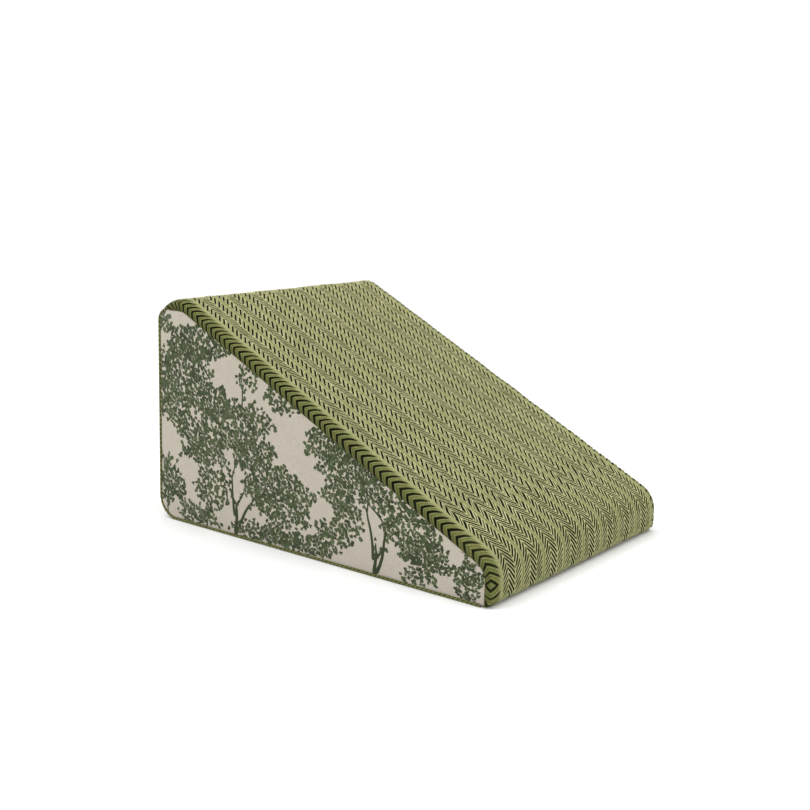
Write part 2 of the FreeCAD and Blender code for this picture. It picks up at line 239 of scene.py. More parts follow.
def slope_weave(s, v, blur):
    """Herringbone columns at s down the cloth and v across it: gap, rail, its centre line and rib phase."""
    repeat = floor(v / REPEAT)
    across = v - repeat * REPEAT
    zigzag = across - 2 * greater(across - ARM_TURN_1, 0) + 2 * greater(across - ARM_TURN_2, 0)
    wander = 0.9 * sine(s * 0.021 + repeat * 2.4) + 0.5 * sine(s * 0.083 + repeat * 4.1)
    down = s - NOSE_STRETCH * greater(s - (STRETCH_START_S + STRETCH_END_S) / 2, 0)
    lean = zigzag * RIB_LEAN * (1 - NOSE_STRETCH * ramp(s, STRETCH_START_S, STRETCH_END_S))
    phase = (down + lean + wander + 7.3 * scatter(repeat)) / RIB_PITCH
    rib = floor(phase)
    odd = rib - 2 * floor(rib / 2)
    second = ramp(across, ARM_TURN_1 - TURN_BLUR, ARM_TURN_1 + TURN_BLUR)
    third = ramp(across, ARM_TURN_2 - TURN_BLUR, ARM_TURN_2 + TURN_BLUR)
    on_nose = ramp(s, STRETCH_START_S, NOSE_PATTERN_S)

    def by_arm(first_arm, second_arm, third_arm, nose):
        value = first_arm + (second_arm - first_arm) * second + (third_arm - second_arm) * third
        return value + (nose - value) * on_nose

    wide, narrow, strong, weak = (by_arm(*row) for row in ARM_GAPS)
    rail_distance = lesser(across, REPEAT - across)
    outer = ramp(absolute(v), EDGE_RAIL_V - 1, EDGE_RAIL_V + 1)
    rail = greater(1 - ramp(rail_distance, RAIL_HALF - 1, RAIL_HALF + 1), outer)
    turn_distance = lesser(absolute(across - ARM_TURN_1), absolute(across - ARM_TURN_2))
    to_end = lesser(turn_distance - 0.2, rail_distance - RAIL_HALF + 0.6)
    taper = ramp(to_end, -3.4, 2.2)
    uneven = 0.8 + 0.2 * scatter(rib + repeat * 31 + 7 * floor(second + 0.5))
    half_gap = (wide + (narrow - wide) * odd) * taper * (0.8 + 0.2 * uneven)
    from_gap = absolute(phase - rib - 0.5)
    gap = 1 - ramp(from_gap, half_gap - blur, half_gap + blur)
    gap = lesser(gap * (strong + (weak - strong) * odd) * uneven, 1) * (1 - rail) * ramp(to_end, 0, 1)
    centre_line = (1 - ramp(absolute(rail_distance - 0.4), 0.2, 0.9)) * rail * (1 - outer)
    return gap, rail, centre_line, phase


def bull_weave(s, v, blur):
    """Chevrons along the rounded edges, mirrored about the middle of the nose."""
    out = absolute(v)
    folded = NOSE_MIDDLE_S - absolute(s - NOSE_MIDDLE_S)
    reach = out - BULL_APEX_V
    lean = 0.72 * greater(0 - reach, 0) + 1.0 * greater(reach, 0)
    wander = 1.4 * sine(folded * 0.05 + 1.3) + 0.9 * sine(folded * 0.17)
    down = folded - lean + wander - SLOPE_START_S
    phase = down * (1 / BULL_PITCH - BULL_PITCH_GAIN * down)
    rib = floor(phase)
    from_gap = absolute(phase - rib - 0.5)
    strength = 0.72 + 0.28 * scatter(rib + 3)
    upper_fade = ramp(out, BULL_START_V - 5, BULL_START_V + 4)
    near_nose = ramp(folded, NOSE_PATTERN_S - 60, NOSE_PATTERN_S)
    half_gap = (0.17 - 0.06 * near_nose) * (0.4 + 0.6 * upper_fade)
    gap = (1 - ramp(from_gap, half_gap - blur, half_gap + blur)) * strength * upper_fade
    strand = ramp(absolute(3 * phase - floor(3 * phase) - 0.5), 0.2, 0.42) * upper_fade
    return gap, strand, phase


def cloth_height(s, v):
    """Relief of the cover cloth in millimetres, from its gaps, strands and rails."""
    gap, rail, centre_line, _ = slope_weave(s, v, 0.16)
    bull_gap, bull_strand, bull_phase = bull_weave(s, v, 0.06)
    on_bull = ramp(absolute(v), BULL_START_V - 4, BULL_START_V + 2)
    rounded = 0.3 * absolute(sine(bull_phase * 2 * math.pi)) * on_bull
    sunk = GAP_DEPTH * (gap + bull_gap) + 0.3 * bull_strand + 0.35 * centre_line
    return 0.45 + rounded + 0.2 * rail * (1 - on_bull) - sunk


# ---- outlines


class Outline:
    """A closed outline of runs and arcs, clockwise in (x, z), measured from the end of its first corner."""

    def __init__(self, corners, radii):
        corners = [np.array(corner, float) for corner in corners]
        rounds = []
        for index, corner in enumerate(corners):
            before = corners[index - 1] - corner
            after = corners[(index + 1) % len(corners)] - corner
            before /= np.linalg.norm(before)
            after /= np.linalg.norm(after)
            half = math.acos(before @ after) / 2
            reach = radii[index] / math.tan(half)
            inward = (before + after) / np.linalg.norm(before + after)
            centre = corner + inward * radii[index] / math.sin(half)
            rounds.append((corner + before * reach, centre, corner + after * reach, math.pi - 2 * half))
        self.pieces = []
        self.length = 0.0
        for index, (_, _, start, _) in enumerate(rounds):
            end, centre, _, turn = rounds[(index + 1) % len(rounds)]
            radius = np.linalg.norm(end - centre)
            run = np.linalg.norm(end - start)
            self.pieces.append((False, self.length, run, start, (end - start) / max(run, 1e-9)))
            self.length += run
            self.pieces.append((True, self.length, radius * turn, centre, end - centre))
            self.length += radius * turn

    def start(self, piece):
        """The distance at which a run or arc starts; runs are even and arcs odd."""
        return self.pieces[piece][1]

    def at(self, distance):
        """Points and outward normals at an array of distances."""
        distance = np.mod(np.asarray(distance, float), self.length)
        points = np.zeros(distance.shape + (2,))
        normals = np.zeros(distance.shape + (2,))
        for is_arc, start, length, anchor, direction in self.pieces:
            inside = (distance >= start - 1e-9) & (distance <= start + length)
            along = distance[inside][:, None] - start
            if is_arc:
                radius = np.linalg.norm(direction)
                cosine = np.cos(along / radius)
                sine_ = np.sin(along / radius)
                turned = cosine * direction + sine_ * np.array([direction[1], -direction[0]])
                points[inside] = anchor + turned
                normals[inside] = turned / radius
            else:
                points[inside] = anchor + along * direction
                normals[inside] = (-direction[1], direction[0])
        return points, normals


def slope_z(x, inset=0.0):
    """Height of the slope at x, or of the line inset below it, measured square to it."""
    return SHARP_BACK_Z - (x - BACK_X) * math.tan(SLOPE_ANGLE) - inset / math.cos(SLOPE_ANGLE)


def wedge_outline(inset=0.0, back_slack=0.0):
    """The side view of the wedge, moved inwards by inset; its back can stand further in."""
    back = BACK_X + inset + back_slack
    nose = NOSE_X - inset
    bottom = BASE_Z + inset
    corners = [(back, bottom), (back, slope_z(back, inset)), (nose, slope_z(nose, inset)), (nose, bottom)]
    radii = [BACK_BOTTOM_RADIUS, BACK_TOP_RADIUS, NOSE_TOP_RADIUS, NOSE_BOTTOM_RADIUS]
    return Outline(corners, [radius - inset for radius in radii])


def side_seam_outline():
    """The side panels' seam, cut off level at the top."""
    back = BACK_X + SEAM_EDGE_INSET
    bottom = BASE_Z + SEAM_EDGE_INSET
    nose = NOSE_X - SEAM_NOSE_INSET
    top_x = BACK_X + (slope_z(BACK_X, SEAM_SLOPE_INSET) - SEAM_TOP_Z) / math.tan(SLOPE_ANGLE)
    corners = [(back, bottom), (back, SEAM_TOP_Z), (top_x, SEAM_TOP_Z)]
    corners += [(nose, slope_z(nose, SEAM_SLOPE_INSET)), (nose, bottom)]
    radii = [BACK_BOTTOM_RADIUS - SEAM_EDGE_INSET, SEAM_TOP_RADIUS]
    radii += [BACK_TOP_RADIUS - SEAM_SLOPE_INSET, NOSE_TOP_RADIUS - SEAM_SLOPE_INSET, SEAM_FOOT_RADIUS]
    return Outline(corners, radii)


profile = wedge_outline()
seam = side_seam_outline()
BACK_SEAM_S = BACK_SEAM_Z - profile.at(np.array([0.0]))[0][0, 1]
BASE_SEAM_S = profile.start(6) + profile.at(np.array([profile.start(6)]))[0][0, 0] - BASE_NOSE_SEAM_X
NOSE_MIDDLE_S = profile.start(4) + 4.0
NOSE_PATTERN_S = profile.start(3)
STRETCH_START_S = NOSE_PATTERN_S - 130
STRETCH_END_S = NOSE_PATTERN_S - 50
SLOPE_START_S = profile.start(2)


# ---- mesh helpers


def grid_quads(rows, columns, closed=False, flip=False):
    """Quads of a grid of points; closed joins the last column to the first."""
    index = np.arange(rows * columns).reshape(rows, columns)
    if closed:
        index = np.concatenate([index, index[:, :1]], axis=1)
    corners = [index[:-1, :-1], index[:-1, 1:], index[1:, 1:], index[1:, :-1]]
    if flip:
        corners.reverse()
    return np.stack(corners, -1).reshape(-1, 4)


def put_object(name, data):
    """A new object in the scene."""
    made = bpy.data.objects.new(name, data)
    bpy.context.scene.collection.objects.link(made)
    return made


def put_mesh(name, points, quads, material, slot, node=None, **attributes):
    """A smooth-shaded piece of the ramp, from points in millimetres, that may stand for a CAD node."""
    mesh = bpy.data.meshes.new(name)
    points = points.reshape(-1, 3) * MM
    mesh.vertices.add(len(points))
    mesh.vertices.foreach_set("co", points.astype(np.float32).ravel())
    mesh.loops.add(quads.size)
    mesh.loops.foreach_set("vertex_index", quads.astype(np.int32).ravel())
    mesh.polygons.add(len(quads))
    mesh.polygons.foreach_set("loop_start", np.arange(0, quads.size, 4, dtype=np.int32))
    mesh.update(calc_edges=True)
    mesh.validate()
    mesh.shade_smooth()
    for key, values in attributes.items():
        kind, field = ("FLOAT_VECTOR", "vector") if values.shape[-1] == 3 else ("FLOAT", "value")
        layer = mesh.attributes.new(key, kind, "POINT")
        layer.data.foreach_set(field, values.astype(np.float32).ravel())
    mesh.materials.append(material)
    piece = put_object(name, mesh)
    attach(piece, "ramp")
    if node:
        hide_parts(node)
    return piece


def put_sheet(name, points, material, slot, node, flat, rests_on, flip=True, area=None, **attributes):
    """A stretched sheet of cloth from a grid of points; its flat size and area, in millimetres, are
    converted to metres and not used further.
    """
    quads = grid_quads(*points.shape[:2], flip=flip)
    piece = put_mesh(name, points, quads, material, slot, node, **attributes)
    flat = (flat[0] * MM, flat[1] * MM)
    area = None if area is None else float(area) * MM * MM


def triple(x, y, z):
    """Three arrays, broadcast together, as points."""
    return np.stack(np.broadcast_arrays(x, y, z), -1)


def off_profile(s, y, lift):
    """Points y across and s along the wedge's side view, lifted outwards from it."""
    point, normal = profile.at(s)
    return triple(point[..., 0] + normal[..., 0] * lift, y, point[..., 1] + normal[..., 1] * lift)


def tight_drop(y):
    """How far the tight rounding of the back's and base's side edges has fallen away at y."""
    over = np.maximum(np.abs(y) - (HALF_WIDTH - TIGHT_EDGE), 0)
    return TIGHT_EDGE - np.sqrt(TIGHT_EDGE**2 - over**2)


def gentle(a, b, size, seed):
    """Slow unevenness over two coordinates, about -1 to 1, with waves about size long."""
    rng = np.random.default_rng(seed)
    total = 0
    for _ in range(5):
        direction = rng.uniform(0, 2 * math.pi)
        wave = 2 * math.pi / (size * rng.uniform(0.7, 1.6))
        along = a * math.cos(direction) + b * math.sin(direction)
        total = total + np.sin(along * wave + rng.uniform(0, 2 * math.pi))
    return total / 3.2


def tube(path, radius, sides, lift=None):
    """Points and quads of a tube round a path of points; lift adds to its radius per ring and side."""
    path = np.asarray(path, float)
    tangent = np.gradient(path, axis=0)
    tangent /= np.linalg.norm(tangent, axis=1)[:, None]
    normal = np.cross(tangent, (0, 1, 0))
    weak = np.linalg.norm(normal, axis=1) < 1e-3
    normal[weak] = np.cross(tangent[weak], (0, 0, 1))
    normal /= np.linalg.norm(normal, axis=1)[:, None]
    other = np.cross(tangent, normal)
    angle = np.arange(sides) * 2 * math.pi / sides
    reach = np.broadcast_to(np.asarray(radius, float).reshape(-1, 1), (len(path), sides))
    if lift is not None:
        reach = reach + lift
    ring = np.cos(angle)[None, :, None] * normal[:, None] + np.sin(angle)[None, :, None] * other[:, None]
    points = path[:, None] + ring * reach[:, :, None]
    return points, grid_quads(len(path), sides, closed=True, flip=True)


# ---- materials


def srgb(red, green, blue):
    """A linear colour from 0-255 screen values."""
    levels = [level / 255 for level in (red, green, blue)]
    linear = [x / 12.92 if x <= 0.04045 else ((x + 0.055) / 1.055) ** 2.4 for x in levels]
    return (*linear, 1.0)


class Finish:
    """A material being built: its principled shader and helpers for the nodes behind it."""

    def __init__(self, name, roughness, sheen=0.0, specular=0.3, metallic=0.0):
        self.material = bpy.data.materials.new(name)
        self.material.use_nodes = True
        self.tree = self.material.node_tree
        self.shader = self.tree.nodes["Principled BSDF"]
        self.shader.inputs["Roughness"].default_value = roughness
        self.shader.inputs["Sheen Weight"].default_value = sheen
        self.shader.inputs["Sheen Roughness"].default_value = 0.55
        self.shader.inputs["Specular IOR Level"].default_value = specular
        self.shader.inputs["Metallic"].default_value = metallic

    def parts(self, vector):
        """The three parts of a vector socket."""
        node = self.tree.nodes.new("ShaderNodeSeparateXYZ")
        self.tree.links.new(vector, node.inputs[0])
        return [Value(self.tree, output) for output in node.outputs]

    def attribute(self, name):
        """The node that reads a mesh attribute."""
        node = self.tree.nodes.new("ShaderNodeAttribute")
        node.attribute_name = name
        return node

    def fabric(self):
        """The point's place on the cloth, in millimetres."""
        return self.parts(self.attribute("fabric").outputs["Vector"])

    def scalar(self, name):
        return Value(self.tree, self.attribute(name).outputs["Fac"])

    def position(self):
        """The point's own coordinates in millimetres."""
        node = self.tree.nodes.new("ShaderNodeTexCoord")
        return [part * 1000 for part in self.parts(node.outputs["Object"])]

    def noise(self, x, y, z=0.0, detail=2.0, rough=0.5):
        """Noise from 0 to 1 whose cells are about one unit of x, y and z."""
        vector = x.node("ShaderNodeCombineXYZ", x, y, z)
        node = self.tree.nodes.new("ShaderNodeTexNoise")
        node.inputs["Scale"].default_value = 1.0
        node.inputs["Detail"].default_value = detail
        node.inputs["Roughness"].default_value = rough
        self.tree.links.new(vector.outputs[0], node.inputs["Vector"])
        return Value(self.tree, node.outputs[0])

    def grain(self, fineness, detail=2.0, rough=0.5):
        """Even noise in the piece's own space, with about that many cells to the millimetre."""
        return self.noise(*(part * fineness for part in self.position()), detail, rough)

    def mix(self, factor, first, second):
        """A colour between two colours or colour sockets."""
        node = self.tree.nodes.new("ShaderNodeMix")
        node.data_type = "RGBA"
        self.tree.links.new(factor.socket, node.inputs[0])
        for slot, colour in ((node.inputs[6], first), (node.inputs[7], second)):
            if isinstance(colour, tuple):
                slot.default_value = colour
            else:
                self.tree.links.new(colour, slot)
        return node.outputs[2]

    def finish(self, colour, height=None, depth=0.3, roughness=None):
        """Connects the colour, a bump of that height times depth in millimetres, and the roughness."""
        self.tree.links.new(colour, self.shader.inputs["Base Color"])
        if roughness is not None:
            self.tree.links.new(roughness.socket, self.shader.inputs["Roughness"])
        if height is not None:
            bump = self.tree.nodes.new("ShaderNodeBump")
            bump.inputs["Distance"].default_value = depth * MM
            self.tree.links.new(height.socket, bump.inputs["Height"])
            self.tree.links.new(bump.outputs[0], self.shader.inputs["Normal"])
        return self.material


LIGHT_GREEN = srgb(218, 216, 164)
MID_GREEN = srgb(154, 155, 103)
RAIL_GREEN = srgb(146, 149, 101)
DEEP_GREEN = srgb(76, 79, 42)
OLIVE = srgb(96, 99, 46)
OLIVE_LIGHT = srgb(146, 147, 92)
GAP_DARK = srgb(12, 16, 6)
PIPING_GREEN = srgb(84, 87, 40)
PIPING_LIGHT = srgb(124, 126, 74)


def herringbone():
    """Olive herringbone upholstery: pale ribs with dark gaps, smooth rails, a darker rounded edge with
    painted shade on its lower side.
    """
    finish = Finish("herringbone_weave", 0.95, sheen=0.03, specular=0.06)
    s, v, _ = finish.fabric()
    gap, rail, centre_line, phase = slope_weave(s, v, 0.05)
    bull_gap, bull_strand, _ = bull_weave(s, v, 0.025)
    on_bull = ramp(absolute(v), BULL_START_V - 2, BULL_START_V + 9)
    cloud = finish.noise(s * 0.02, v * 0.02, detail=2)
    streak = finish.noise(phase * 3, (s - phase * RIB_PITCH) * 0.11, s * 0.06, detail=3, rough=0.6)
    grain = finish.noise(s * 0.9, v * 0.9, 3.1, detail=2, rough=0.7)
    thread = finish.noise(s * 0.07, v * 1.3, 5.2, detail=2, rough=0.6)
    fleck = ramp(finish.noise(s * 0.55, v * 0.55, 9.7, detail=1), 0.6, 0.72)
    pale = finish.mix(ramp(streak, 0.3, 0.66), MID_GREEN, LIGHT_GREEN)
    smooth = finish.mix(ramp(thread, 0.3, 0.7), MID_GREEN, RAIL_GREEN)
    pale = finish.mix(rail * 0.85, pale, smooth)
    pale = finish.mix(ramp(cloud, 0.35, 0.75) * 0.3, pale, RAIL_GREEN)
    pale = finish.mix(ramp(s, NOSE_PATTERN_S - 160, NOSE_PATTERN_S) * 0.2, pale, RAIL_GREEN)
    olive = finish.mix(ramp(grain, 0.35, 0.7), OLIVE, OLIVE_LIGHT)
    cloth = finish.mix(on_bull, pale, olive)
    cloth = finish.mix(fleck * 0.35, cloth, LIGHT_GREEN)
    cloth = finish.mix(ramp(grain, 0.6, 0.3) * 0.45, cloth, DEEP_GREEN)
    # Painted shade: the rounded edge is darkened below its apex, on the side turned away from the light.
    underside_painted_shade = ramp(absolute(v), BULL_APEX_V - 5, BULL_APEX_V + 6) * 0.55
    # Dark strand and rail centre lines of the pattern, plus the painted shade of the rounded edge's lower
    # side.
    lines_and_painted_shade = lesser(bull_strand * 0.85 + centre_line * 0.75 + underside_painted_shade, 1)
    cloth = finish.mix(lines_and_painted_shade, cloth, DEEP_GREEN)
    dark = lesser(greater(gap, bull_gap) * 1.3, 1)
    colour = finish.mix(dark, cloth, GAP_DARK)
    height = grain * 0.5 + streak * 0.5 - dark * 0.8
    return finish.finish(colour, height, depth=0.5)


def piping_gap(s, around):
    """Distance from the middle of the piping's nearest dark dash, in shares of their pitch."""
    phase = (s + around * WELT_BIAS) / WELT_PITCH
    return absolute(phase - floor(phase) - 0.5)


def piping_cloth():
    """The herringbone cut on the bias round the piping: green with a dark dash at each rib."""
    finish = Finish("piping_weave", 0.9, sheen=0.12, specular=0.15)
    s, around, _ = finish.fabric()
    gap = 1 - ramp(piping_gap(s, around), 0.1, 0.16)
    grain = finish.noise(s * 0.9, around * 0.9, detail=2, rough=0.7)
    green = finish.mix(ramp(grain, 0.3, 0.7), PIPING_GREEN, PIPING_LIGHT)
    return finish.finish(finish.mix(gap * 0.95, green, GAP_DARK), grain - gap, depth=0.4)


GREIGE = srgb(190, 183, 169)
GREIGE_DARK = srgb(176, 168, 154)
LEAF_DARK = srgb(44, 55, 29)
LEAF_LIGHT = srgb(70, 83, 51)


def printed_linen():
    """Greige linen with a two-tone green foliage print."""
    finish = Finish("printed_linen", 0.92, sheen=0.08, specular=0.15)
    x, z, _ = finish.fabric()
    ink = finish.scalar("print")
    tone = finish.scalar("tone")
    warp = absolute(sine(x * (math.pi / 0.62)))
    weft = absolute(sine(z * (math.pi / 0.62)))
    weave = warp * 0.5 + weft * 0.5
    slub = finish.noise(x * 0.08, z * 1.1, 2.0, detail=3) + finish.noise(x * 1.1, z * 0.08, 5.0, detail=3)
    cloud = finish.noise(x * 0.012, z * 0.012, detail=2)
    fine = finish.noise(x * 1.3, z * 1.3, 7.0, detail=2, rough=0.7)
    ground = finish.mix(ramp(slub, 0.75, 1.25), GREIGE_DARK, GREIGE)
    ground = finish.mix(ramp(cloud, 0.4, 0.7) * 0.25, ground, GREIGE_DARK)
    leaf = finish.mix(ramp(tone + fine * 0.6 - 0.3, 0.1, 0.9), LEAF_DARK, LEAF_LIGHT)
    ragged = ink + (fine - 0.5) * 0.55
    printed = ramp(ragged, -0.2, 0.2) * (1 - 0.16 * ramp(fine, 0.5, 0.75))
    colour = finish.mix(printed, ground, leaf)
    return finish.finish(colour, weave * 0.6 + slub * 0.5 + fine * 0.3, depth=0.22)


def woven(name, light, dark, pitch):
    """A plain weave of that pitch on the mesh's own coordinates."""
    finish = Finish(name, 0.9, sheen=0.1, specular=0.2)
    x, y, z = finish.position()
    warp = sine((x + z * 0.7) * (2 * math.pi / pitch))
    weft = sine((y + z * 0.7) * (2 * math.pi / pitch))
    weave = warp * weft * 0.5 + 0.5
    grain = finish.grain(0.8, 3, 0.6)
    colour = finish.mix(ramp(weave * 0.5 + grain * 0.7, 0.3, 0.9), dark, light)
    colour = finish.mix(ramp(finish.grain(0.03), 0.35, 0.7) * 0.25, colour, dark)
    return finish.finish(colour, weave + grain * 0.6, depth=0.25)


def rubber():
    """Matt dotted grip backing."""
    finish = Finish("grip_rubber", 0.6, specular=0.4)
    speck = finish.grain(0.6, 4, 0.7)
    mottle = ramp(speck * 0.6 + finish.grain(0.02) * 0.5, 0.3, 0.8)
    return finish.finish(finish.mix(mottle, srgb(52, 54, 50), srgb(74, 76, 70)), speck, depth=0.08)


def foam(name, light, dark, pore):
    """Open-cell foam: pores of that size with a slightly mottled colour."""
    finish = Finish(name, 0.95, sheen=0.05, specular=0.1)
    pores = finish.grain(1 / pore, 4, 0.75)
    mottle = ramp(pores * 0.7 + finish.grain(0.03) * 0.4, 0.35, 0.8)
    return finish.finish(finish.mix(mottle, dark, light), pores, depth=0.5)


def metal():
    """Brushed nickel zip hardware with fine scratches and darker, rubbed patches."""
    finish = Finish("zip_metal", 0.36, specular=0.5, metallic=1.0)
    x, y, z = finish.position()
    scratch = finish.noise(x * 6, y * 6, z * 0.7, detail=3, rough=0.7)
    patch = ramp(finish.grain(0.35, 3), 0.35, 0.7)
    colour = finish.mix(patch, srgb(146, 142, 133), srgb(188, 184, 175))
    return finish.finish(colour, scratch, depth=0.03, roughness=0.26 + scratch * 0.3)


def nylon(name, light, dark):
    """Zip coil or sewing thread: faintly glossy twisted fibre."""
    finish = Finish(name, 0.5, sheen=0.1, specular=0.45)
    twist = finish.grain(2.5, 3, 0.6)
    return finish.finish(finish.mix(ramp(twist, 0.3, 0.7), dark, light), twist, depth=0.06)


# ---- cover: slope


def edge_radius(s):
    """The long edges' rounding: full along the slope and nose, tight on the back and base."""
    back = ramp(s, profile.start(1), profile.start(2))
    base = ramp(s, profile.start(5), profile.start(6))
    return TIGHT_EDGE + (BULLNOSE - TIGHT_EDGE) * (back - base)


def seam_depth(s):
    """How far inside the profile, square to it, the side seam lies."""
    origin, normal = profile.at(s)
    ends, _ = seam.at(np.linspace(0, seam.length, 1500)[:-1])
    start = ends[None]
    edge = np.roll(ends, -1, axis=0)[None] - start
    inward = -normal[:, None]
    to_start = start - origin[:, None]
    cross = inward[..., 0] * edge[..., 1] - inward[..., 1] * edge[..., 0]
    cross = np.where(np.abs(cross) < 1e-12, 1e-12, cross)
    depth = (to_start[..., 0] * edge[..., 1] - to_start[..., 1] * edge[..., 0]) / cross
    share = (to_start[..., 0] * inward[..., 1] - to_start[..., 1] * inward[..., 0]) / cross
    hit = (share >= -1e-6) & (share <= 1 + 1e-6) & (depth > 0)
    return np.where(hit, depth, 1e9).min(axis=1)


def tuck(distance):
    """The dip of the cloth into a seam that far away."""
    return -SEAM_TUCK * np.exp(-((distance / SEAM_TUCK_REACH) ** 2))


def strip(s, step, inset=0.0):
    """The cover over the whole width at distances s: fabric across, depth, place across and turn."""
    radius = edge_radius(s)[:, None]
    end_depth = seam_depth(s)[:, None] - inset
    radius = radius - inset
    flat = BULLNOSE - inset - radius
    end_turn = np.arccos(np.clip(1 - end_depth / radius, 0, 1))
    length = flat + radius * end_turn + np.maximum(end_depth - radius, 0)
    inner = HALF_WIDTH - BULLNOSE
    across = np.linspace(-inner, inner, int(2 * inner / step) + 1)
    edge_steps = int(EDGE_STRIP / step)
    out = np.arange(1, edge_steps + 1) / edge_steps * length
    turn = np.clip((out - flat) / radius, 0, end_turn)
    down = np.maximum(out - flat - radius * end_turn, 0)
    place = inner + np.minimum(out, flat) + radius * np.sin(turn)
    depth = radius * (1 - np.cos(turn)) + down

    def both(values, middle, sign):
        middle = np.broadcast_to(middle, (len(s), across.size))
        return np.concatenate([sign * values[:, ::-1], middle, values], axis=1)

    return {
        "v": both(inner + out, across, -1),
        "y": both(place, across, -1),
        "depth": both(depth, 0.0, 1),
        "turn": both(turn, 0.0, -1),
        "to_seam": both(length - out, FAR_FROM_SEAM, 1),
    }


def slope_cover(material):
    """The herringbone panel from the back seam over the slope and nose to the base seam."""
    length = BASE_SEAM_S - BACK_SEAM_S
    s = np.linspace(BACK_SEAM_S, BASE_SEAM_S, int(length / FINE) + 1)
    at = strip(s, FINE)
    s, v, turn = s[:, None], at["v"], at["turn"]
    near_end = np.minimum(s - BACK_SEAM_S, BASE_SEAM_S - s)
    calm = ramp(np.minimum(at["to_seam"], near_end), 0, 3)
    lift = (cloth_height(s, v) + 0.5 * gentle(s, v, 90, 3)) * calm + tuck(at["to_seam"]) + tuck(near_end)
    put_sheet(
        "slope_cover",
        off_profile(s, at["y"] + np.sin(turn) * lift, np.cos(turn) * lift - at["depth"]),
        material,
        "herringbone_fabric",
        "slope_panel",
        (2 * v.max(), length),
        "foam_top_layer",
        fabric=triple(s, v, 0.0),
    )


# ---- cover: printed sides

# Foliage print: each mass is (x, z, half-width, half-height, density)
MASSES = [
    (-262, 316, 78, 34, 1.0),
    (-280, 264, 66, 58, 1.0),
    (-302, 206, 40, 36, 1.0),
    (-336, 250, 16, 66, 0.9),
    (-330, 346, 20, 18, 0.9),
    (-164, 196, 92, 44, 1.0),
    (-216, 226, 40, 34, 0.9),
    (-250, 150, 36, 40, 0.85),
    (-232, 126, 62, 14, 0.9),
    (-120, 150, 50, 30, 0.95),
    (-64, 88, 82, 52, 1.0),
    (-216, 74, 46, 40, 0.8),
    (-256, 22, 56, 22, 1.0),
    (-322, 70, 26, 50, 1.0),
    (-298, 62, 18, 20, 0.8),
    (-104, 20, 90, 18, 0.8),
    (-20, 22, 90, 20, 1.0),
    (-140, 272, 30, 24, 0.5),
    (-56, 250, 46, 24, 0.95),
    (36, 196, 44, 34, 1.0),
    (84, 166, 74, 34, 0.95),
    (60, 118, 38, 26, 1.0),
    (80, 78, 36, 28, 0.9),
    (46, 46, 44, 26, 0.85),
    (150, 130, 44, 26, 0.8),
    (206, 84, 62, 44, 0.95),
    (236, 54, 50, 30, 1.0),
    (216, 20, 40, 14, 0.8),
    (308, 34, 28, 34, 1.0),
]
# Trees and boughs: each is (x, z, heading in degrees from upright, length, width, splits)
BOUGHS = [
    (-164, 0, -2, 58, 9, 1),
    (-165, 40, -8, 62, 6, 3),
    (-158, 16, 26, 74, 6.5, 3),
    (134, 0, 0, 34, 9, 1),
    (132, 30, -6, 72, 6, 3),
    (140, 10, 30, 76, 6.5, 3),
    (-232, 0, 8, 90, 4, 3),
    (-150, 215, 14, 84, 3.2, 3),
    (-136, 286, 70, 90, 2.4, 2),
    (64, 84, 6, 70, 3.4, 3),
    (306, 0, -10, 50, 3, 2),
    (-330, 10, 4, 80, 3.4, 3),
]
LEAF_GAP = 5.0
LEAF_RIM = 0.75
RIMMED_SHARE = 0.4
PRINT_CELL = 0.8
PRINT_LOW = (-356.0, -4.0)
PRINT_SIZE = (712.0, 384.0)


